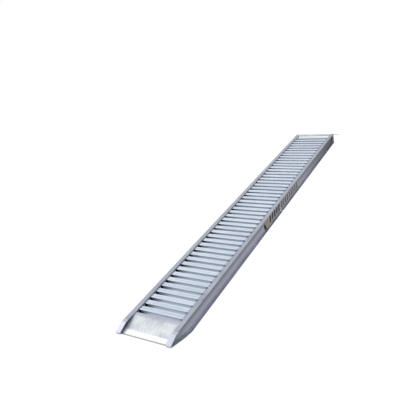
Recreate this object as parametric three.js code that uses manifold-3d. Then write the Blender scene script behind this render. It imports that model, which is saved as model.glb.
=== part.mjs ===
// Folding loading ramp: an aluminium wheel ramp in two half sections.
//
// The ramp lies flat, deck up. X runs across the ramp, Y along it from the
// foot to the upper end, and Z is up. Millimetres. The origin is on the floor
// under the middle of the ramp's outer box.
//
// Each half has two rails of I section, with planks welded between their webs.
// The halves meet in a butt joint and fold about two hinge links, one in each
// rail, that sit below the deck. Each link turns on a pin in the lower half and
// on a pin in the upper half, so the undersides come together when folded.

import * as THREE from 'three';
import { mergeVertices } from 'three/addons/utils/BufferGeometryUtils.js';
import Module from 'manifold-3d';

const wasm = await Module();
wasm.setup();

// ---------------------------------------------------------------- dimensions

const GAP = 0.3;                  // air left between pieces that touch

// Deck. Gap 0 is the gap between the apron and the first plank, at along = 0.
const PITCH = 45;                 // from one plank to the next
const PLANK_COUNT = 47;
const LOWER_PLANK_COUNT = 24;     // planks in the lower half
const PLANK_WIDTH = 26;
const PLANK_HEIGHT = 22;
const PLANK_WALL = 2.6;

// Rails.
const WIDTH = 290;                // over the flanges
const HEIGHT = 71;
const FLANGE_WIDTH = 23;
const FLANGE_THICK = 4;
const FLANGE_OUTSIDE = 13;        // flange that stands outside the web
const WEB_THICK = 3;

// Where things lie along the ramp, from gap 0.
const SEAM = LOWER_PLANK_COUNT * PITCH;
const RAIL_END = 2156;
const FLANGE_BEND = -85;          // the top flange bends down here
const RAIL_TIP = -135;
const TIP_TOP = 53.5;
const TIP_UNDERSIDE = 44;
const TIP_WALL = 3;               // closes the channels at the tip
const HEEL = 14;                  // the underside rises from here to the tip
const SOLE_BEND = -46;            // and a little more steeply from here
const SOLE_BEND_HEIGHT = 15;

// Apron plate at the foot.
const APRON_BEND = -24;
const APRON_FRONT = -129;
const APRON_FRONT_HEIGHT = 44.5;
const APRON_CHAMFER = -100;       // the knife edge starts here
const APRON_THICK = 4;
const APRON_EDGE = 1.6;

// Lip that rests on the tailgate.
const LIP_THICK = 4;
const LIP_OVERHANG = 1;           // from the rails' ends to the lip's bend
const LIP_LENGTH = 150;
const LIP_ANGLE = THREE.MathUtils.degToRad(22.7);

// Fold hinge.
const PIN_OFFSET = 20;            // from the seam to each pin
const PIN_HEIGHT = 13;
const PIN_RADIUS = 5;
const PIN_HEAD_RADIUS = 8.5;
const PIN_HEAD_THICK = 4;
const PIN_CLEARANCE = 0.4;
const PIN_FACETS = 20;
const ARC_SEGMENTS = 10;          // segments in each round end of a link
const LINK_THICK = 5;
const LINK_GAP = 0.5;             // a link runs this far off the web
const LINK_RADIUS = 11;
const LEDGE_CUT = 36;             // bottom flange cut back each side of the seam
const BUTT_GAP = 0.4;             // each rail stops this far from the seam
const CORNER_SEGMENTS = 4;        // segments in each rail end's rounded lower corner

// ------------------------------------------------------------ derived values

const HALF_WIDTH = WIDTH / 2;
const FLANGE_INNER = HALF_WIDTH - FLANGE_WIDTH;
const WEB_OUTER = HALF_WIDTH - FLANGE_OUTSIDE;
const WEB_INNER = WEB_OUTER - WEB_THICK;
const PLANK_TOP = HEIGHT - FLANGE_THICK - GAP;
const DECK_HALF = WEB_INNER - GAP;
const GAP_WIDTH = PITCH - PLANK_WIDTH;
const LIP_FRONT = RAIL_END + LIP_OVERHANG;
const LIP_TIP = LIP_FRONT + LIP_LENGTH * Math.cos(LIP_ANGLE) + LIP_THICK * Math.sin(LIP_ANGLE);
const ORIGIN_ALONG = (RAIL_TIP + LIP_TIP) / 2;
const OVERSHOOT = 5;              // cutters reach this far past what they cut

// ----------------------------------------------------------------- materials

function metal(colour, roughness) {
  return new THREE.MeshStandardMaterial({ color: colour, roughness, metalness: 0.9 });
}

const railMetal = () => metal(0xb4b4c2, 0.42);
const plankMetal = () => metal(0xd7dfec, 0.36);
const plateMetal = () => metal(0xdde2e6, 0.34);
const steel = () => metal(0x8c9096, 0.4);

// ------------------------------------------------------------ shape builders

// Turns a side outline (along, height) extruded in thickness to lie across the
// ramp, between the two given x values.
function extrudeAcross(shape, fromX, toX) {
  const geometry = new THREE.ExtrudeGeometry(shape, {
    depth: toX - fromX,
    bevelEnabled: false,
    curveSegments: ARC_SEGMENTS,
  });
  const along = new THREE.Vector3(0, 1, 0);
  const up = new THREE.Vector3(0, 0, 1);
  const across = new THREE.Vector3(1, 0, 0);
  geometry.applyMatrix4(new THREE.Matrix4().makeBasis(along, up, across));
  geometry.translate(fromX, 0, 0);
  return geometry;
}

function outline(points) {
  return new THREE.Shape(points.map(([along, height]) => new THREE.Vector2(along, height)));
}

function box(fromX, toX, fromY, toY, fromZ, toZ) {
  const geometry = new THREE.BoxGeometry(toX - fromX, toY - fromY, toZ - fromZ);
  geometry.translate((fromX + toX) / 2, (fromY + toY) / 2, (fromZ + toZ) / 2);
  return geometry;
}

function withSharedVertices(geometry) {
  const bare = geometry.clone();
  bare.deleteAttribute('normal');
  bare.deleteAttribute('uv');
  return bare.index ? bare : mergeVertices(bare);
}

function toSolid(geometry) {
  const merged = mergeVertices(withSharedVertices(geometry));
  return new wasm.Manifold(new wasm.Mesh({
    numProp: 3,
    vertProperties: new Float32Array(merged.attributes.position.array),
    triVerts: new Uint32Array(merged.index.array),
  }));
}

function toGeometry(solid) {
  const mesh = solid.getMesh();
  const geometry = new THREE.BufferGeometry();
  geometry.setAttribute('position', new THREE.BufferAttribute(mesh.vertProperties, 3));
  geometry.setIndex(new THREE.BufferAttribute(mesh.triVerts, 1));
  geometry.computeVertexNormals();
  return geometry;
}

function cutFrom(solid, geometries) {
  return geometries.map(toSolid).reduce((rest, cutter) => rest.subtract(cutter), solid);
}

function named(name, geometry, material) {
  const mesh = new THREE.Mesh(geometry, material);
  mesh.name = name;
  return mesh;
}

// Mirrors a geometry to the other side of the ramp and keeps its faces outward.
function mirrored(geometry) {
  const copy = withSharedVertices(geometry);
  copy.scale(-1, 1, 1);
  const corners = Array.from(copy.index.array);
  for (let i = 0; i < corners.length; i += 3) {
    [corners[i + 1], corners[i + 2]] = [corners[i + 2], corners[i + 1]];
  }
  copy.setIndex(corners);
  copy.computeVertexNormals();
  return copy;
}

// --------------------------------------------------------------------- rails

// A rail on the ramp's right side. Its side outline is extruded to the width of
// its flanges, and a pocket is cut from each face to leave the web. sideOfSeam is
// -1 for the lower half, which ends just before the seam, and 1 for the upper.
function railGeometry(sideOutline, innerPocket, outerPocket, sideOfSeam) {
  const blank = toSolid(extrudeAcross(outline(sideOutline), FLANGE_INNER, HALF_WIDTH));
  return toGeometry(cutFrom(blank, [
    extrudeAcross(outline(innerPocket), FLANGE_INNER - OVERSHOOT, WEB_INNER),
    extrudeAcross(outline(outerPocket), WEB_OUTER, HALF_WIDTH + OVERSHOOT),
    ledgeCutter(sideOfSeam),
  ]));
}

// The inner half of the bottom flange is cut away beside the hinge link.
function ledgeCutter(side) {
  const ends = [SEAM - side * OVERSHOOT, SEAM + side * LEDGE_CUT].sort((a, b) => a - b);
  return box(FLANGE_INNER - OVERSHOOT, WEB_INNER, ...ends, -OVERSHOOT, FLANGE_THICK + OVERSHOOT);
}

// The end of a rail at the seam, from the floor up. Its lower corner is rounded
// about the pin so that it clears the other half as the ramp folds.
function seamFace(side) {
  const radius = PIN_OFFSET - BUTT_GAP;
  const floorAngle = Math.asin(PIN_HEIGHT / radius);
  const points = [];
  for (let i = 0; i <= CORNER_SEGMENTS; i += 1) {
    const angle = floorAngle * (1 - i / CORNER_SEGMENTS);
    const fromSeam = PIN_OFFSET - radius * Math.cos(angle);
    points.push([SEAM + side * fromSeam, PIN_HEIGHT - radius * Math.sin(angle)]);
  }
  points.push([SEAM + side * BUTT_GAP, HEIGHT]);
  return points;
}

// The height at a place on the straight line between two points.
function heightBetween([startAlong, startHeight], [endAlong, endHeight], along) {
  const share = (along - startAlong) / (endAlong - startAlong);
  return startHeight + share * (endHeight - startHeight);
}

function lowerRailGeometry() {
  const innerTop = HEIGHT - FLANGE_THICK;
  const pastSeam = SEAM + OVERSHOOT;
  const flangeBend = [FLANGE_BEND, innerTop];
  const soleBend = [SOLE_BEND, SOLE_BEND_HEIGHT + FLANGE_THICK];
  const pocketTip = RAIL_TIP + TIP_WALL;
  const tipUnderFlange = [RAIL_TIP, TIP_TOP - FLANGE_THICK];
  const tipOverSole = [RAIL_TIP, TIP_UNDERSIDE + FLANGE_THICK];
  const pocket = [
    [HEEL, FLANGE_THICK],
    [pastSeam, FLANGE_THICK],
    [pastSeam, innerTop],
    flangeBend,
    [pocketTip, heightBetween(flangeBend, tipUnderFlange, pocketTip)],
    [pocketTip, heightBetween(soleBend, tipOverSole, pocketTip)],
    soleBend,
  ];
  const side = [
    [HEEL, 0],
    ...seamFace(-1),
    [FLANGE_BEND, HEIGHT],
    [RAIL_TIP, TIP_TOP],
    [RAIL_TIP, TIP_UNDERSIDE],
    [SOLE_BEND, SOLE_BEND_HEIGHT],
  ];
  return railGeometry(side, pocket, pocket, -1);
}

function upperRailGeometry() {
  const innerTop = HEIGHT - FLANGE_THICK;
  const beforeSeam = SEAM - OVERSHOOT;
  const pocketTo = (end) => [
    [beforeSeam, FLANGE_THICK],
    [end, FLANGE_THICK],
    [end, innerTop],
    [beforeSeam, innerTop],
  ];
  const side = [
    [RAIL_END, 0],
    [RAIL_END, HEIGHT],
    ...seamFace(1).reverse(),
  ];
  // The outer pocket stops at the end plate.
  return railGeometry(side, pocketTo(RAIL_END + OVERSHOOT), pocketTo(RAIL_END - FLANGE_THICK), 1);
}

// --------------------------------------------------------------------- decks

// A plank is a channel, open below and at both ends. Its downhill edge is at 0.
function plankGeometry() {
  const underside = PLANK_TOP - PLANK_HEIGHT;
  const shape = outline([
    [0, underside],
    [PLANK_WALL, underside],
    [PLANK_WALL, PLANK_TOP - PLANK_WALL],
    [PLANK_WIDTH - PLANK_WALL, PLANK_TOP - PLANK_WALL],
    [PLANK_WIDTH - PLANK_WALL, underside],
    [PLANK_WIDTH, underside],
    [PLANK_WIDTH, PLANK_TOP],
    [0, PLANK_TOP],
  ]);
  return extrudeAcross(shape, -DECK_HALF, DECK_HALF);
}

function apronGeometry() {
  const back = -GAP_WIDTH / 2;
  const slope = (PLANK_TOP - APRON_FRONT_HEIGHT) / (APRON_BEND - APRON_FRONT);
  const chamferTop = PLANK_TOP - slope * (APRON_BEND - APRON_CHAMFER);
  const skirt = PLANK_TOP - PLANK_HEIGHT;
  const shape = outline([
    [back, PLANK_TOP],
    [APRON_BEND, PLANK_TOP],
    [APRON_CHAMFER, chamferTop],
    [APRON_FRONT, APRON_FRONT_HEIGHT],
    [APRON_FRONT, APRON_FRONT_HEIGHT - APRON_EDGE],
    [APRON_CHAMFER, chamferTop - APRON_THICK],
    [APRON_BEND, PLANK_TOP - APRON_THICK],
    [back - APRON_THICK, PLANK_TOP - APRON_THICK],
    [back - APRON_THICK, skirt],
    [back, skirt],
  ]);
  const plate = toSolid(extrudeAcross(shape, -DECK_HALF, DECK_HALF));
  // The rails' sloping bottom flanges reach in below the front corners.
  const corner = box(FLANGE_INNER - GAP, DECK_HALF + OVERSHOOT, RAIL_TIP, APRON_CHAMFER, 0, HEIGHT);
  return toGeometry(cutFrom(plate, [corner, mirrored(corner)]));
}

function lipGeometry() {
  const back = PLANK_COUNT * PITCH + GAP_WIDTH / 2;
  const underside = HEIGHT - LIP_THICK;
  const endAlong = LIP_FRONT + LIP_LENGTH * Math.cos(LIP_ANGLE);
  const endHeight = underside - LIP_LENGTH * Math.sin(LIP_ANGLE);
  const shape = outline([
    [back, underside],
    [LIP_FRONT, underside],
    [endAlong, endHeight],
    [endAlong + LIP_THICK * Math.sin(LIP_ANGLE), endHeight + LIP_THICK * Math.cos(LIP_ANGLE)],
    [LIP_FRONT + LIP_THICK * Math.tan(LIP_ANGLE / 2), HEIGHT],
    [back, HEIGHT],
  ]);
  const plate = toSolid(extrudeAcross(shape, -HALF_WIDTH, HALF_WIDTH));
  const notch = box(FLANGE_INNER - GAP, HALF_WIDTH + OVERSHOOT, back - OVERSHOOT, LIP_FRONT,
    0, HEIGHT + OVERSHOOT);
  return toGeometry(cutFrom(plate, [notch, mirrored(notch)]));
}

// --------------------------------------------------------------- fold hinge

function linkGeometry() {
  const shape = new THREE.Shape();
  shape.absarc(PIN_OFFSET, 0, LINK_RADIUS, -Math.PI / 2, Math.PI / 2, false);
  shape.absarc(-PIN_OFFSET, 0, LINK_RADIUS, Math.PI / 2, 3 * Math.PI / 2, false);
  for (const side of [-1, 1]) {
    const hole = new THREE.Path();
    hole.absarc(side * PIN_OFFSET, 0, PIN_RADIUS + PIN_CLEARANCE, 0, 2 * Math.PI, true);
    shape.holes.push(hole);
  }
  const outer = WEB_INNER - LINK_GAP;
  const geometry = extrudeAcross(shape, outer - LINK_THICK, outer);
  geometry.translate(0, SEAM, PIN_HEIGHT);
  return geometry;
}

// A headed stud welded to the inner face of the web. It is turned about its own
// axis and laid across.
function pinGeometry(along) {
  const webEnd = WEB_INNER - GAP;
  const headFace = WEB_INNER - LINK_GAP - LINK_THICK - GAP;
  const profile = [
    [0, headFace - PIN_HEAD_THICK],
    [PIN_HEAD_RADIUS, headFace - PIN_HEAD_THICK],
    [PIN_HEAD_RADIUS, headFace],
    [PIN_RADIUS, headFace],
    [PIN_RADIUS, webEnd],
    [0, webEnd],
  ].map(([radius, x]) => new THREE.Vector2(radius, x));
  const geometry = new THREE.LatheGeometry(profile, PIN_FACETS);
  geometry.rotateZ(-Math.PI / 2);
  geometry.translate(0, along, PIN_HEIGHT);
  return geometry;
}

// ------------------------------------------------------------------ assembly

// Adds a piece on the right side and its mirror image on the left.
function addPair(group, name, geometry, makeMaterial) {
  group.add(named(`${name}_right`, geometry, makeMaterial()));
  group.add(named(`${name}_left`, mirrored(geometry), makeMaterial()));
}

function addPlanks(group, from, to) {
  for (let number = from; number < to; number += 1) {
    const label = String(number + 1).padStart(2, '0');
    const plank = named(`plank_${label}`, plankGeometry(), plankMetal());
    plank.position.y = number * PITCH + GAP_WIDTH / 2;
    group.add(plank);
  }
}

function lowerHalf() {
  const group = new THREE.Group();
  addPair(group, 'lower_rail', lowerRailGeometry(), railMetal);
  group.add(named('apron_plate', apronGeometry(), plateMetal()));
  addPlanks(group, 0, LOWER_PLANK_COUNT);
  addPair(group, 'lower_hinge_pin', pinGeometry(SEAM - PIN_OFFSET), steel);
  return group;
}

function upperHalf() {
  const group = new THREE.Group();
  addPair(group, 'upper_rail', upperRailGeometry(), railMetal);
  group.add(named('tailgate_lip', lipGeometry(), plateMetal()));
  addPlanks(group, LOWER_PLANK_COUNT, PLANK_COUNT);
  addPair(group, 'upper_hinge_pin', pinGeometry(SEAM + PIN_OFFSET), steel);
  return group;
}

function hingeLinks() {
  const group = new THREE.Group();
  addPair(group, 'hinge_link', linkGeometry(), steel);
  return group;
}

const ramp = new THREE.Group();
ramp.add(lowerHalf(), hingeLinks(), upperHalf());
ramp.position.y = -ORIGIN_ALONG;

export default ramp;
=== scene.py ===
"""Looks of the folding loading ramp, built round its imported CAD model.

Metres, in the model's own frame: X across the ramp, Y along it from the foot to
the tailgate lip, Z up through the deck. The rails, plates, links and studs are
the CAD nodes with rounded edges and metal materials. The planks are rebuilt with
their ribbed tops, and welds and stickers are added.

Places along the ramp are given as distances in millimetres from the gap between
the apron and the first plank, uphill positive, and along() turns them into Y.
"""

import math

import bmesh
import bpy
from mathutils import Matrix, Vector


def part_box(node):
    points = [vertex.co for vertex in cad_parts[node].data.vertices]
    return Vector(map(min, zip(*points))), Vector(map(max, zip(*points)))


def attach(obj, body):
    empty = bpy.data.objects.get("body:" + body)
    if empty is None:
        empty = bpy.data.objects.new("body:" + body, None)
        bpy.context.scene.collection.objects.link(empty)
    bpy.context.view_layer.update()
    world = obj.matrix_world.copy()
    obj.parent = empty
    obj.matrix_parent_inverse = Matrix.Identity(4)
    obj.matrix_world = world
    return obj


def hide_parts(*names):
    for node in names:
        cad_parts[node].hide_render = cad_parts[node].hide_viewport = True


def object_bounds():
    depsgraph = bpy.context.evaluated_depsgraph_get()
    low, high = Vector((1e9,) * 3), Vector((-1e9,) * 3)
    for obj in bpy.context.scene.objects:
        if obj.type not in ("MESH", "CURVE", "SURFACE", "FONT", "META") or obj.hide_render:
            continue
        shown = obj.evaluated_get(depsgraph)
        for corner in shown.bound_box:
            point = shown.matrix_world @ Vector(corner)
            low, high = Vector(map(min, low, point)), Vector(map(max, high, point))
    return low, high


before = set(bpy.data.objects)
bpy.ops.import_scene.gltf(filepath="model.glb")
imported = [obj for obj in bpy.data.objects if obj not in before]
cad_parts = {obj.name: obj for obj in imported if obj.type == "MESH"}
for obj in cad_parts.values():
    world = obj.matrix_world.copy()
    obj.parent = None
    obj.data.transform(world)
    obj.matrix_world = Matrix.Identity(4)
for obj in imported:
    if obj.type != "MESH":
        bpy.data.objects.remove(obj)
cad_low, cad_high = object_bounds()

# ---------------------------------------------------------------- dimensions

MM = 0.001

PLANK_COUNT = 47
LOWER_PLANK_COUNT = 24
PLANK_WALL = 2.6 * MM
PLANK_CORNER = 1.4 * MM
PLANK_GROOVE = 2.6 * MM           # width of the groove between the two ribbed lands
PLANK_GROOVE_DEPTH = 1.6 * MM
PLANK_EDGE_FLAT = 1.2 * MM        # smooth strip beside each corner
PLANK_CORNER_STEPS = 4
PLANK_INNER_STEPS = 3
PLANK_CROWN = 3 * MM              # from the rib tops to the roof of the hollow
HALF_GAP = 9.5 * MM               # from the middle of a gap to a plank
RIBS_PER_LAND = 6
RIB_DEPTH = 0.45 * MM

RAIL_EDGE_RADIUS = 0.5 * MM
PLATE_EDGE_RADIUS = 0.6 * MM
STEEL_EDGE_RADIUS = 0.4 * MM
EDGE_SEGMENTS = 2
CORNER_MERGE = 0.01 * MM
LEAST_EDGE_TURN = 12              # degrees; edges that turn more than this are rounded

WEB_OUTER = 132 * MM              # the web's outer face
WEB_INNER = 129 * MM
WEB_MIDDLE = (WEB_INNER + WEB_OUTER) / 2
FLANGE_INNER = 122 * MM
FLANGE_OUTER = 145 * MM
FLANGE_THICK = 4 * MM
FLANGE_BEND = -85                 # along: where the foot's flange starts to slope down
FOOT_TIP_TOP = 53.5 * MM

BEAD_RADIUS = 2.2 * MM
BEAD_RIPPLE = 0.35 * MM
BEAD_WANDER = 0.25 * MM
BEAD_PHASE = 9.1                  # radians of wander from one bead to the next
BEAD_TURN = 5.3                   # radians of wander from one step to the next
BEAD_END_SHARE = 0.45             # of the full radius, at a bead's ends
BEAD_GROWTH = 0.5                 # share gained with each step from an end
BEAD_STEP = 1.1 * MM
BEAD_SIDES = 8
BEAD_INSET = 0.4 * MM             # from a plank's end face
BEAD_STANDOFF = 0.2 * MM          # from a plank's leg
BEAD_ABOVE_FOOT = 1.5 * MM
BEAD_BELOW_DECK = 2.5 * MM

STICKER_THICK = 0.15 * MM
STICKER_LIFT = 0.02 * MM          # between the web and the first layer
STICKER_START, STICKER_END = 860, 1384      # along, at the backing's lower edge
STICKER_CUT, STICKER_RESUME = 1075, 1087    # along, on either side of the seam
STICKER_LOW, STICKER_HIGH = 8, 61           # heights in mm
STICKER_BAND_LOW = 50                       # height of the long band's lower edge in mm
BLOCK_COUNT, BLOCK_START, BLOCK_PITCH, BLOCK_LENGTH = 5, 912, 33, 20
DASH_COUNT, DASH_START, DASH_PITCH, DASH_LENGTH = 9, 1094, 32, 12

# Places of marks and of changes of tone, as distances along.
FOOT_WELD = -64                   # weld line across the rail's flange
# painted shade on the webs grows uphill between these
WEB_SHADE_UPHILL_FROM, WEB_SHADE_UPHILL_TO = 1350, 2050
# painted shade on the deck grows uphill between these
DECK_SHADE_UPHILL_FROM, DECK_SHADE_UPHILL_TO = 1700, 2150
APRON_SHINE_FROM, APRON_SHINE_TO = -97, -103
APRON_FLUSH_FROM, APRON_FLUSH_TO = -36, -26     # darker strip at the apron's uphill edge
APRON_MASK_FROM, APRON_MASK_TO = 100, 60    # past the apron, far short of the lip
SPOT = 145                        # small dark spot on the right rail's flange

# Their places across and up, from the frame's origin.
SPOT_X = 139 * MM
WEB_SHADE_LOW, WEB_SHADE_HIGH = 6 * MM, 52 * MM
FOOT_WEAR_LOW, FOOT_WEAR_HIGH = 40 * MM, 46 * MM

# Stage, with the lens and the sensor in millimetres.
IN_USE_SLOPE = math.radians(22.7)
FLOOR_LEVEL = -4.0                # far below, so that every pose is clear of it
FLOOR_HALF = 150.0
WORLD_STRENGTH = 1.0
SUN_STRENGTH = 1.2
SUN_ANGLE = 24                    # degrees across, for soft shadows
SUN_FROM = (-3.4, -0.2, 2.1)
LENS = 42.4
SENSOR = 36.0
CAMERA_SHIFT = -0.0055
CAMERA_FORWARD = (-0.5314, 0.7369, -0.4180)
CAMERA_X = 1.2104
CAMERA_BEFORE_DECK = 1.1857       # how far downhill of the first gap it stands
CAMERA_Z = 1.3397

foot_tip = cad_low.y
foot_plate_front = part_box("apron_plate")[0].y
deck_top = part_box("plank_01")[1].z
rail_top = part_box("upper_rail_right")[1].z
first_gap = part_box("plank_01")[0].y - HALF_GAP


def along(millimetres):
    """Y of a place given by its distance from the gap behind the apron."""
    return first_gap + millimetres * MM


# ------------------------------------------------------------- mesh helpers

def new_object(name, bm, material, smooth_angle=35):
    """An object from bm, smooth except at edges sharper than smooth_angle degrees."""
    bmesh.ops.recalc_face_normals(bm, faces=bm.faces)
    mesh = bpy.data.meshes.new(name)
    bm.to_mesh(mesh)
    bm.free()
    for face in mesh.polygons:
        face.use_smooth = True
    mesh.set_sharp_from_angle(angle=math.radians(smooth_angle))
    mesh.materials.append(material)
    obj = bpy.data.objects.new(name, mesh)
    bpy.context.scene.collection.objects.link(obj)
    return obj


def arc(centre, radius, start, end, steps):
    """Points of an arc in the side plane, angles in degrees from +Y towards +Z."""
    points = []
    for step in range(steps + 1):
        angle = math.radians(start + (end - start) * step / steps)
        y = centre[0] + radius * math.cos(angle)
        z = centre[1] + radius * math.sin(angle)
        points.append((y, z))
    return points


def prism(bm, profile, from_x, to_x):
    """A closed prism across the ramp from a side profile of (y, z) points. Returns its end faces."""
    ends = []
    for x in (from_x, to_x):
        ends.append([bm.verts.new((x, y, z)) for y, z in profile])
    count = len(profile)
    for i in range(count):
        j = (i + 1) % count
        bm.faces.new((ends[0][i], ends[0][j], ends[1][j], ends[1][i]))
    return [bm.faces.new(ends[0][::-1]), bm.faces.new(ends[1])]


def weld_bead(bm, foot, height, seed):
    """A rippled weld bead that stands upright on foot."""
    steps = round(height / BEAD_STEP)
    rings = []
    for step in range(steps + 1):
        wander = BEAD_WANDER * math.sin(BEAD_PHASE * seed + BEAD_TURN * step)
        centre = foot + Vector((0, wander, height * step / steps))
        taper = min(1.0, BEAD_END_SHARE + BEAD_GROWTH * min(step, steps - step))
        ripple = BEAD_RIPPLE * (1 if step % 2 else -1)
        radius = (BEAD_RADIUS + ripple) * taper
        ring = []
        for side in range(BEAD_SIDES):
            angle = 2 * math.pi * side / BEAD_SIDES
            offset = Vector((math.sin(angle), math.cos(angle), 0))
            ring.append(bm.verts.new(centre + offset * radius))
        rings.append(ring)
    for first, second in zip(rings, rings[1:]):
        for i in range(BEAD_SIDES):
            j = (i + 1) % BEAD_SIDES
            bm.faces.new((first[i], first[j], second[j], second[i]))
    bm.faces.new(rings[0][::-1])
    bm.faces.new(rings[-1])


# ----------------------------------------------------------------- materials

RAIL_DARK = (0.35, 0.375, 0.445)
RAIL_LIGHT = (0.475, 0.505, 0.595)
RAIL_STREAK = (0.28, 0.29, 0.33)
# scuff wear and painted highlight on the flange at the foot
RAIL_WEAR_AND_HIGHLIGHT = (0.50, 0.52, 0.60)
RAIL_SCUFF = (0.22, 0.235, 0.30)
RAIL_MARK = (0.16, 0.16, 0.19)
RAIL_SPOT = (0.10, 0.10, 0.12)
# painted shade: dark line along the flange's outer edge
FLANGE_EDGE_SHADE = (0.13, 0.135, 0.16)
# painted light and shade on the webs: lit near the sole, shaded under the flange
WEB_BRIGHT = (0.50, 0.515, 0.61)
WEB_SHADED = (0.15, 0.155, 0.195)
# painted shade: darker copies of the web colours for the upper end
UPPER_WEB_BRIGHT = (0.10, 0.10, 0.13)
UPPER_WEB_SHADED = (0.035, 0.036, 0.05)
CHANNEL_PATCH = (0.32, 0.33, 0.38)
CHANNEL_STREAK = (0.15, 0.15, 0.165)
# painted shade: near black on the web's inner face
CHANNEL_INSIDE_SHADE = (0.03, 0.03, 0.05)
PLANK_DARK = (0.60, 0.665, 0.76)
PLANK_LIGHT = (0.70, 0.76, 0.85)
# die lines, and painted shade in the groove
PLANK_LINE_AND_SHADE = (0.40, 0.45, 0.52)
# painted shade on the plank's sides
PLANK_SIDE_SHADE = (0.46, 0.52, 0.61)
# painted shadow near the rails
PLANK_SHADOW = (0.018, 0.02, 0.04)
# painted shade towards the upper end of the deck
PLANK_UPHILL_SHADE = (0.40, 0.44, 0.52)
PLANK_WORN = (0.78, 0.81, 0.85)
PLATE_CLEAN = (0.66, 0.69, 0.71)
PLATE_SMEAR = (0.43, 0.46, 0.52)
PLATE_SCRATCH = (0.44, 0.46, 0.51)
PLATE_POLISHED = (0.80, 0.80, 0.81)
# painted shade beside the rails, and a darker strip at the uphill edge
PLATE_MARGIN = (0.42, 0.44, 0.53)
PLATE_SPECK = (0.20, 0.21, 0.23)
# painted shade at the front edge
PLATE_EDGE_SHADE = (0.17, 0.175, 0.19)
# painted shade: the steel is kept dark to blend with the shade around the hinges
STEEL_DARK = (0.10, 0.10, 0.105)
STEEL_LIGHT = (0.22, 0.215, 0.21)
WELD_SOOT = (0.30, 0.30, 0.33)
WELD_BRIGHT = (0.62, 0.64, 0.68)
FLOOR_DARK = (0.85, 0.85, 0.85)
FLOOR_LIGHT = (0.87, 0.87, 0.87)
BLACK_RUBBED = (0.035, 0.03, 0.035)
BLACK_SOLID = (0.01, 0.009, 0.011)
GOLD_RUBBED = (0.36, 0.27, 0.09)
GOLD_SOLID = (0.22, 0.16, 0.06)
GREY_RUBBED = (0.36, 0.34, 0.36)
GREY_SOLID = (0.24, 0.225, 0.24)


def nodes_of(name):
    """A new material with its node tree and its shader."""
    material = bpy.data.materials.new(name)
    material.use_nodes = True
    tree = material.node_tree
    shader = tree.nodes["Principled BSDF"]
    return material, tree, shader


class Graph:
    """Short names for the nodes that the metals share."""

    def __init__(self, tree):
        self.tree = tree
        self.place = tree.nodes.new("ShaderNodeTexCoord").outputs["Object"]

    def link(self, source, socket):
        self.tree.links.new(source, socket)

    def axes(self):
        split = self.tree.nodes.new("ShaderNodeSeparateXYZ")
        self.link(self.place, split.inputs[0])
        return split.outputs

    def noise(self, scale, stretch=(1, 1, 1), detail=3.0, roughness=0.5):
        mapping = self.tree.nodes.new("ShaderNodeMapping")
        mapping.inputs["Scale"].default_value = stretch
        self.link(self.place, mapping.inputs["Vector"])
        texture = self.tree.nodes.new("ShaderNodeTexNoise")
        texture.inputs["Scale"].default_value = scale
        texture.inputs["Detail"].default_value = detail
        texture.inputs["Roughness"].default_value = roughness
        self.link(mapping.outputs[0], texture.inputs["Vector"])
        return texture.outputs["Fac"]

    def math(self, operation, first, second=0.0):
        node = self.tree.nodes.new("ShaderNodeMath")
        node.operation = operation
        for value, socket in zip((first, second), node.inputs):
            if isinstance(value, (int, float)):
                socket.default_value = value
            else:
                self.link(value, socket)
        return node.outputs[0]

    def product(self, *factors):
        result = factors[0]
        for factor in factors[1:]:
            result = self.math("MULTIPLY", result, factor)
        return result

    def ramp(self, value, low, high, from_value=0.0, to_value=1.0):
        """from_value at low, to_value at high, held beyond them."""
        node = self.tree.nodes.new("ShaderNodeMapRange")
        node.inputs["From Min"].default_value = low
        node.inputs["From Max"].default_value = high
        node.inputs["To Min"].default_value = from_value
        node.inputs["To Max"].default_value = to_value
        self.link(value, node.inputs["Value"])
        return node.outputs[0]

    def mix(self, share, first, second):
        """first where share is 0 and second where it is 1."""
        node = self.tree.nodes.new("ShaderNodeMix")
        node.data_type = "RGBA"
        if isinstance(share, (int, float)):
            node.inputs["Factor"].default_value = share
        else:
            self.link(share, node.inputs["Factor"])
        for value, socket in ((first, node.inputs[6]), (second, node.inputs[7])):
            if isinstance(value, tuple):
                socket.default_value = (*value, 1)
            else:
                self.link(value, socket)
        return node.outputs[2]

    def bump(self, height, strength, distance):
        node = self.tree.nodes.new("ShaderNodeBump")
        node.inputs["Strength"].default_value = strength
        node.inputs["Distance"].default_value = distance
        self.link(height, node.inputs["Height"])
        return node.outputs[0]

    def near(self, value, centre, half_width, softness):
        """1 where value is within half_width of centre, fading to 0 over softness."""
        distance = self.math("ABSOLUTE", self.math("SUBTRACT", value, centre))
        return self.ramp(distance, half_width, half_width + softness, 1.0, 0.0)


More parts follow.
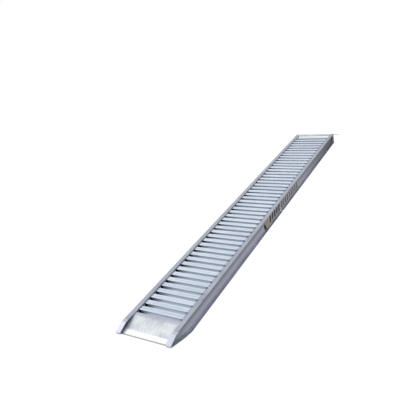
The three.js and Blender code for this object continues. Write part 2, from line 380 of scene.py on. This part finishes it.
def rail_metal():
    """Mill-finish extrusion, with painted shade in its channels and a lighter foot of scuff wear and
    painted highlight.
    """
    material, tree, shader = nodes_of("rail_aluminium")
    g = Graph(tree)
    x, y, z = g.axes()
    streaks = g.noise(60, stretch=(30, 0.6, 30), detail=4)
    blotches = g.noise(9, stretch=(3, 1, 3), detail=5, roughness=0.6)
    scuffs = g.noise(40, stretch=(1, 6, 1), detail=6, roughness=0.7)
    from_middle = g.math("ABSOLUTE", x)

    web_distance = g.math("ABSOLUTE", g.math("SUBTRACT", from_middle, WEB_MIDDLE))
    beside_web = g.ramp(web_distance, 2.4 * MM, 3.0 * MM, 1.0, 0.0)
    flange_height = g.ramp(y, foot_tip, along(FLANGE_BEND), FOOT_TIP_TOP, rail_top)
    depth = g.math("SUBTRACT", flange_height, z)
    below_flange = g.ramp(depth, FLANGE_THICK, FLANGE_THICK + 0.6 * MM)
    above_sole = g.ramp(z, FLANGE_THICK, FLANGE_THICK + 0.6 * MM)
    in_channel = g.product(beside_web, below_flange, above_sole)

    flange = g.mix(g.ramp(blotches, 0.35, 0.65), RAIL_DARK, RAIL_LIGHT)
    flange = g.mix(g.product(g.ramp(streaks, 0.45, 0.7), 0.4), flange, RAIL_STREAK)
    flange = g.mix(g.ramp(scuffs, 0.56, 0.72, 0.0, 0.45), flange, RAIL_SCUFF)
    # painted shade: the flange's outer edge is darkened for the shadow line below it
    outer_edge_shade = g.ramp(from_middle, FLANGE_OUTER - 1.2 * MM, FLANGE_OUTER - 0.4 * MM)
    flange = g.mix(g.product(outer_edge_shade, 0.85), flange, FLANGE_EDGE_SHADE)

    # painted shade: the web darkens upwards into the flange's shadow
    up_web = g.ramp(z, WEB_SHADE_LOW, WEB_SHADE_HIGH)
    lower_web = g.mix(up_web, WEB_BRIGHT, WEB_SHADED)
    upper_web = g.mix(up_web, UPPER_WEB_BRIGHT, UPPER_WEB_SHADED)
    # painted shade: the web darkens towards the upper end
    uphill = g.ramp(y, along(WEB_SHADE_UPHILL_FROM), along(WEB_SHADE_UPHILL_TO))
    web = g.mix(uphill, lower_web, upper_web)
    web = g.mix(g.ramp(blotches, 0.45, 0.7, 0.0, 0.2), web, CHANNEL_PATCH)
    web = g.mix(g.product(g.ramp(streaks, 0.5, 0.7), 0.3), web, CHANNEL_STREAK)
    # painted shade: the web's inner face is made near black
    inside = g.ramp(from_middle, WEB_INNER + 0.6 * MM, WEB_INNER + 0.2 * MM)
    web = g.mix(g.product(inside, 0.8), web, CHANNEL_INSIDE_SHADE)
    colour = g.mix(in_channel, flange, web)

    # the flange at the foot is lighter: scuff wear and a painted highlight
    below_weld = g.ramp(y, along(FOOT_WELD + 4), along(FOOT_WELD - 2))
    at_foot = g.product(below_weld, g.ramp(z, FOOT_WEAR_LOW, FOOT_WEAR_HIGH))
    on_flange = g.math("SUBTRACT", 1.0, in_channel)
    wear_and_highlight = g.product(at_foot, on_flange, g.ramp(scuffs, 0.3, 0.6, 0.55, 1.0))
    colour = g.mix(wear_and_highlight, colour, RAIL_WEAR_AND_HIGHLIGHT)

    on_top = g.ramp(z, rail_top - 5 * MM, rail_top - 3 * MM)
    mark = g.product(g.near(y, along(FOOT_WELD), 1.2 * MM, 1.0 * MM), on_top)
    colour = g.mix(g.product(mark, 0.55), colour, RAIL_MARK)
    beside_spot = g.near(x, SPOT_X, 2.0 * MM, 1.2 * MM)
    spot = g.product(g.near(y, along(SPOT), 2.4 * MM, 1.2 * MM), beside_spot, on_top)
    colour = g.mix(g.product(spot, 0.7), colour, RAIL_SPOT)

    g.link(colour, shader.inputs["Base Color"])
    shader.inputs["Metallic"].default_value = 0.85
    patchy = g.ramp(blotches, 0.3, 0.7, 0.40, 0.52)
    roughness = g.math("ADD", patchy, g.product(streaks, 0.08))
    g.link(roughness, shader.inputs["Roughness"])
    relief = g.math("ADD", g.product(streaks, 0.6), g.product(scuffs, 0.3))
    g.link(g.bump(relief, 0.25, 0.15 * MM), shader.inputs["Normal"])
    return material


def plank_metal():
    """Bright extrusion with fine die lines and a slightly different tone on each plank, and painted
    shade in the grooves, on the sides, near the rails and towards the upper end.
    """
    material, tree, shader = nodes_of("plank_aluminium")
    g = Graph(tree)
    x, y, z = g.axes()
    die_lines = g.noise(80, stretch=(0.5, 25, 25), detail=4)
    tone = g.noise(14, stretch=(0.25, 1, 0.2), detail=2)
    rubbed = g.noise(12, stretch=(1, 3, 1), detail=6, roughness=0.6)
    colour = g.mix(g.ramp(tone, 0.35, 0.65), PLANK_DARK, PLANK_LIGHT)
    colour = g.mix(g.product(g.ramp(die_lines, 0.4, 0.7), 0.4), colour, PLANK_LINE_AND_SHADE)

    # painted shade in the groove between the lands
    in_groove = g.ramp(z, deck_top - 0.7 * MM, deck_top - PLANK_GROOVE_DEPTH)
    colour = g.mix(g.product(in_groove, 0.35), colour, PLANK_LINE_AND_SHADE)
    # painted shade: the plank's sides below the groove are darker
    on_leg = g.ramp(z, deck_top - PLANK_GROOVE_DEPTH, deck_top - 3.5 * MM)
    colour = g.mix(g.product(on_leg, 0.85), colour, PLANK_SIDE_SHADE)

    from_middle = g.math("ABSOLUTE", x)
    # painted shadow: the plank sides darken towards the rails, in the ends of the gaps
    near_rail = g.ramp(from_middle, FLANGE_INNER - 24 * MM, FLANGE_INNER - 6 * MM)
    colour = g.mix(g.product(near_rail, on_leg), colour, PLANK_SHADOW)
    # painted shadow: a dark line under each flange's inner edge, and a wider band beside the right
    # flange
    joint_shadow = g.ramp(from_middle, FLANGE_INNER - 3.5 * MM, FLANGE_INNER - 1 * MM, 0.0, 0.75)
    right_flange_shadow = g.ramp(x, FLANGE_INNER - 11 * MM, FLANGE_INNER - 7 * MM, 0.0, 0.45)
    colour = g.mix(g.math("MAXIMUM", joint_shadow, right_flange_shadow), colour, PLANK_SHADOW)
    # painted shade: the deck darkens towards the upper end
    uphill = g.ramp(y, along(DECK_SHADE_UPHILL_FROM), along(DECK_SHADE_UPHILL_TO), 0.0, 0.45)
    colour = g.mix(uphill, colour, PLANK_UPHILL_SHADE)

    on_ribs = g.ramp(z, deck_top - 0.8 * MM, deck_top)
    wear = g.product(g.ramp(rubbed, 0.5, 0.72), on_ribs)
    colour = g.mix(g.product(wear, 0.5), colour, PLANK_WORN)

    g.link(colour, shader.inputs["Base Color"])
    shader.inputs["Metallic"].default_value = 0.85
    g.link(g.ramp(rubbed, 0.3, 0.7, 0.34, 0.46), shader.inputs["Roughness"])
    g.link(g.bump(die_lines, 0.2, 0.12 * MM), shader.inputs["Normal"])
    return material


def plate_metal():
    """Sheet with long scratches from tyres, dark smears, a polished front edge, and painted shade
    along its front edge and beside the rails.
    """
    material, tree, shader = nodes_of("plate_aluminium")
    g = Graph(tree)
    x, y, _ = g.axes()
    smears = g.noise(9, stretch=(1.2, 1, 1), detail=7, roughness=0.7)
    scratches = g.noise(55, stretch=(4, 0.6, 1), detail=5, roughness=0.7)
    specks = g.noise(220, detail=3, roughness=0.8)
    colour = g.mix(g.ramp(smears, 0.38, 0.58), PLATE_SMEAR, PLATE_CLEAN)
    colour = g.mix(g.ramp(scratches, 0.48, 0.66, 0.0, 0.75), colour, PLATE_SCRATCH)

    ragged = g.product(g.math("SUBTRACT", scratches, 0.5), 26 * MM)
    edge = g.math("ADD", y, ragged)
    shine = g.ramp(edge, along(APRON_SHINE_FROM), along(APRON_SHINE_TO))
    colour = g.mix(shine, colour, PLATE_POLISHED)

    on_apron = g.ramp(y, along(APRON_MASK_FROM), along(APRON_MASK_TO))
    flush = g.product(g.ramp(y, along(APRON_FLUSH_FROM), along(APRON_FLUSH_TO)), on_apron)
    # painted shade on the apron beside the rails; the strip at the uphill edge is just darker
    rail_shade = g.ramp(g.math("ABSOLUTE", x), FLANGE_INNER - 18 * MM, FLANGE_INNER - 4 * MM)
    margin = g.math("MAXIMUM", flush, g.product(rail_shade, on_apron, 0.8))
    colour = g.mix(g.product(margin, 0.7), colour, PLATE_MARGIN)
    # painted shade: the plate darkens at its front edge
    front_edge_shade = g.ramp(y, foot_plate_front + 6 * MM, foot_plate_front + 4 * MM)
    colour = g.mix(g.product(front_edge_shade, 0.75), colour, PLATE_EDGE_SHADE)
    colour = g.mix(g.ramp(specks, 0.68, 0.78, 0.0, 0.5), colour, PLATE_SPECK)

    g.link(colour, shader.inputs["Base Color"])
    shader.inputs["Metallic"].default_value = 0.8
    g.link(g.ramp(scratches, 0.3, 0.7, 0.36, 0.5), shader.inputs["Roughness"])
    relief = g.math("ADD", g.product(scratches, 0.8), g.product(specks, 0.2))
    g.link(g.bump(relief, 0.3, 0.2 * MM), shader.inputs["Normal"])
    return material


def steel_metal():
    """Steel made dark so that the hinges pass for the shade they sit in, with a slight bloom."""
    material, tree, shader = nodes_of("hinge_steel")
    g = Graph(tree)
    bloom = g.noise(120, detail=5, roughness=0.6)
    grain = g.noise(600, stretch=(1, 0.2, 1), detail=3)
    g.link(g.mix(bloom, STEEL_DARK, STEEL_LIGHT), shader.inputs["Base Color"])
    shader.inputs["Metallic"].default_value = 1.0
    g.link(g.ramp(bloom, 0.3, 0.7, 0.30, 0.48), shader.inputs["Roughness"])
    g.link(g.bump(grain, 0.2, 0.08 * MM), shader.inputs["Normal"])
    return material


def weld_metal():
    """Bright weld with sooty patches."""
    material, tree, shader = nodes_of("weld_aluminium")
    g = Graph(tree)
    soot = g.noise(90, detail=5, roughness=0.7)
    colour = g.mix(g.ramp(soot, 0.35, 0.65), WELD_SOOT, WELD_BRIGHT)
    g.link(colour, shader.inputs["Base Color"])
    shader.inputs["Metallic"].default_value = 0.8
    g.link(g.ramp(soot, 0.3, 0.7, 0.35, 0.55), shader.inputs["Roughness"])
    g.link(g.bump(soot, 0.3, 0.2 * MM), shader.inputs["Normal"])
    return material


def sticker_vinyl(name, light, dark):
    """Printed vinyl, faded and rubbed in places."""
    material, tree, shader = nodes_of(name)
    g = Graph(tree)
    fade = g.noise(70, stretch=(1, 1, 1.5), detail=5, roughness=0.7)
    g.link(g.mix(g.ramp(fade, 0.35, 0.7), dark, light), shader.inputs["Base Color"])
    g.link(g.ramp(fade, 0.3, 0.7, 0.55, 0.8), shader.inputs["Roughness"])
    shader.inputs["Specular IOR Level"].default_value = 0.15
    g.link(g.bump(fade, 0.1, 0.05 * MM), shader.inputs["Normal"])
    return material


RAIL = rail_metal()
PLANK = plank_metal()
PLATE = plate_metal()
STEEL = steel_metal()
WELD = weld_metal()
BLACK_VINYL = sticker_vinyl("sticker_black", BLACK_RUBBED, BLACK_SOLID)
GOLD_VINYL = sticker_vinyl("sticker_gold", GOLD_RUBBED, GOLD_SOLID)
GREY_VINYL = sticker_vinyl("sticker_grey", GREY_RUBBED, GREY_SOLID)


# ------------------------------------------------------------ carried nodes

def rounded_edges(obj, radius):
    """Joins the faceted solid's corners and rounds its edges."""
    weld = obj.modifiers.new("weld", "WELD")
    weld.merge_threshold = CORNER_MERGE
    bevel = obj.modifiers.new("bevel", "BEVEL")
    bevel.width = radius
    bevel.segments = EDGE_SEGMENTS
    bevel.limit_method = "ANGLE"
    bevel.angle_limit = math.radians(LEAST_EDGE_TURN)
    bevel.harden_normals = True


def dress_nodes():
    """Gives each CAD node that stays its material and its rounded edges."""
    looks = {
        "rail": (RAIL, RAIL_EDGE_RADIUS),
        "apron": (PLATE, PLATE_EDGE_RADIUS),
        "lip": (PLATE, PLATE_EDGE_RADIUS),
        "link": (STEEL, STEEL_EDGE_RADIUS),
        "pin": (STEEL, STEEL_EDGE_RADIUS),
    }
    for name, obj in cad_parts.items():
        for word, (material, radius) in looks.items():
            if word in name:
                obj.data.materials.clear()
                obj.data.materials.append(material)
                rounded_edges(obj, radius)


# -------------------------------------------------------------------- planks

def land_points(start, end, top):
    """The ribbed strip between start and end: sharp little ridges along the plank."""
    points = []
    step = (end - start) / RIBS_PER_LAND
    for rib in range(RIBS_PER_LAND):
        left = start + rib * step
        points.append((left, top - RIB_DEPTH))
        points.append((left + 0.25 * step, top))
        points.append((left + 0.75 * step, top))
    points.append((end, top - RIB_DEPTH))
    return points


def plank_profile(low, high):
    """Side profile of a ribbed channel that fills the box between low and high."""
    front, back = low.y, high.y
    foot, top = low.z, high.z
    middle = (front + back) / 2
    radius = PLANK_CORNER
    land_start = front + radius + PLANK_EDGE_FLAT
    land_end = back - radius - PLANK_EDGE_FLAT
    groove_floor = top - PLANK_GROOVE_DEPTH
    outline = [(front, foot)]
    outline += arc((front + radius, top - radius), radius, 180, 90, PLANK_CORNER_STEPS)
    outline += land_points(land_start, middle - PLANK_GROOVE / 2, top)
    outline += [
        (middle - 0.3 * PLANK_GROOVE, groove_floor),
        (middle + 0.3 * PLANK_GROOVE, groove_floor),
    ]
    outline += land_points(middle + PLANK_GROOVE / 2, land_end, top)
    outline += arc((back - radius, top - radius), radius, 90, 0, PLANK_CORNER_STEPS)
    outline += [(back, foot), (back - PLANK_WALL, foot)]
    inner_height = top - PLANK_CROWN - radius
    inner_back = (back - PLANK_WALL - radius, inner_height)
    inner_front = (front + PLANK_WALL + radius, inner_height)
    outline += arc(inner_back, radius, 0, 90, PLANK_INNER_STEPS)
    outline += arc(inner_front, radius, 90, 180, PLANK_INNER_STEPS)
    outline += [(front + PLANK_WALL, foot)]
    return outline


def make_planks():
    for number in range(1, PLANK_COUNT + 1):
        node = f"plank_{number:02d}"
        low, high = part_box(node)
        bm = bmesh.new()
        ends = prism(bm, plank_profile(low, high), low.x, high.x)
        bmesh.ops.triangulate(bm, faces=ends, ngon_method="EAR_CLIP")
        plank = new_object(f"ribbed_{node}", bm, PLANK)
        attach(plank, "lower_half" if number <= LOWER_PLANK_COUNT else "upper_half")
        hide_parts(node)


# --------------------------------------------------------------------- welds

def plank_welds(bm, number):
    """Beads down both legs of a plank where they meet the webs."""
    low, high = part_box(f"plank_{number:02d}")
    foot = low.z + BEAD_ABOVE_FOOT
    height = high.z - BEAD_BELOW_DECK - foot
    for side in (-1, 1):
        x = side * (high.x - BEAD_INSET)
        for y in (low.y - BEAD_STANDOFF, high.y + BEAD_STANDOFF):
            seed = number + 3 * side + (y > low.y)
            weld_bead(bm, Vector((x, y, foot)), height, seed)


def make_welds():
    halves = {
        "lower_half": range(1, LOWER_PLANK_COUNT + 1),
        "upper_half": range(LOWER_PLANK_COUNT + 1, PLANK_COUNT + 1),
    }
    for body, numbers in halves.items():
        bm = bmesh.new()
        for number in numbers:
            plank_welds(bm, number)
        welds = new_object(f"{body}_plank_welds", bm, WELD, smooth_angle=80)
        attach(welds, body)


# ------------------------------------------------------------------ stickers

def sticker_shape(bm, outline, layer):
    """A thin plate on the right web's outer face. outline holds (along, height) in mm."""
    back = WEB_OUTER + STICKER_LIFT + layer * STICKER_THICK
    profile = [(along(distance), height * MM) for distance, height in outline]
    prism(bm, profile, back, back + STICKER_THICK)


def slanted(start, length, low, high, lean=14):
    """A leaning block, given by where its lower edge starts and its length."""
    end = start + length
    return [(start, low), (end, low), (end + lean, high), (start + lean, high)]


def make_sticker(name, body, outlines, material, layer):
    """One colour of a sticker. Each layer lies a film's thickness above the one before."""
    bm = bmesh.new()
    for outline in outlines:
        sticker_shape(bm, outline, layer)
    sticker = new_object(name, bm, material)
    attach(sticker, body)


def make_stickers():
    """One sticker of plain shapes, cut in two at the seam."""
    low, high = STICKER_LOW, STICKER_HIGH
    start, cut, resume, end = STICKER_START, STICKER_CUT, STICKER_RESUME, STICKER_END
    backing = [[(start, low), (cut, low), (cut, high), (start + 12, high)]]
    make_sticker("sticker_backing_lower", "lower_half", backing, GREY_VINYL, 0)
    gold = [slanted(start + 2, 34, low=12, high=60)]
    make_sticker("sticker_gold_lower", "lower_half", gold, GOLD_VINYL, 1)
    blocks = [[(836, 34), (844, 6), (868, 6), (860, 30), (848, 46)]]
    for i in range(BLOCK_COUNT):
        short = i % 2
        place = BLOCK_START + BLOCK_PITCH * i
        blocks.append(slanted(place, BLOCK_LENGTH, low=14 + 3 * short, high=58 - 4 * short))
    make_sticker("sticker_black_lower", "lower_half", blocks, BLACK_VINYL, 2)
    backing = [[(resume, low), (end, low), (end + 8, high), (resume, high)]]
    make_sticker("sticker_backing_upper", "upper_half", backing, GREY_VINYL, 0)
    dashes = []
    for i in range(DASH_COUNT):
        place = DASH_START + DASH_PITCH * i
        dashes.append(slanted(place, DASH_LENGTH, low=14, high=46, lean=12))
    band = [(resume, STICKER_BAND_LOW), (end, STICKER_BAND_LOW), (end + 7, high), (resume, high)]
    make_sticker("sticker_black_upper", "upper_half", [*dashes, band], BLACK_VINYL, 1)


# --------------------------------------------------------------------- stage

def make_floor():
    bm = bmesh.new()
    bmesh.ops.create_grid(bm, x_segments=4, y_segments=4, size=FLOOR_HALF)
    material, tree, shader = nodes_of("floor_pale")
    g = Graph(tree)
    mottle = g.noise(1.5, detail=3)
    g.link(g.mix(mottle, FLOOR_DARK, FLOOR_LIGHT), shader.inputs["Base Color"])
    shader.inputs["Roughness"].default_value = 0.95
    shader.inputs["Specular IOR Level"].default_value = 0.1
    floor = new_object("floor", bm, material)
    floor.location.z = FLOOR_LEVEL


def make_light():
    """An even white surround and a broad sun from the left."""
    world = bpy.data.worlds.new("studio")
    world.use_nodes = True
    background = world.node_tree.nodes["Background"]
    background.inputs["Color"].default_value = (1, 1, 1, 1)
    background.inputs["Strength"].default_value = WORLD_STRENGTH
    bpy.context.scene.world = world
    sun = bpy.data.lights.new("sun", "SUN")
    sun.energy = SUN_STRENGTH
    sun.angle = math.radians(SUN_ANGLE)
    obj = bpy.data.objects.new("sun", sun)
    obj.rotation_euler = Vector(SUN_FROM).to_track_quat("Z", "Y").to_euler()
    bpy.context.scene.collection.objects.link(obj)
    bpy.context.scene.view_settings.view_transform = "Standard"


def make_camera():
    """The camera stands level with the ground that the sloping ramp stands on."""
    camera = bpy.data.cameras.new("camera")
    camera.sensor_width = SENSOR
    camera.lens = LENS
    obj = bpy.data.objects.new("camera", camera)
    bpy.context.scene.collection.objects.link(obj)
    forward = Vector(CAMERA_FORWARD).normalized()
    ground_up = Vector((0, math.sin(IN_USE_SLOPE), math.cos(IN_USE_SLOPE)))
    right = forward.cross(ground_up).normalized()
    up = right.cross(forward)
    turn = Matrix((right, up, -forward)).transposed().to_4x4()
    position = Vector((CAMERA_X, first_gap - CAMERA_BEFORE_DECK, CAMERA_Z))
    obj.matrix_world = Matrix.Translation(position) @ turn
    camera.shift_y = CAMERA_SHIFT
    bpy.context.scene.camera = obj


dress_nodes()
make_planks()
make_welds()
make_stickers()
make_floor()
make_light()
make_camera()
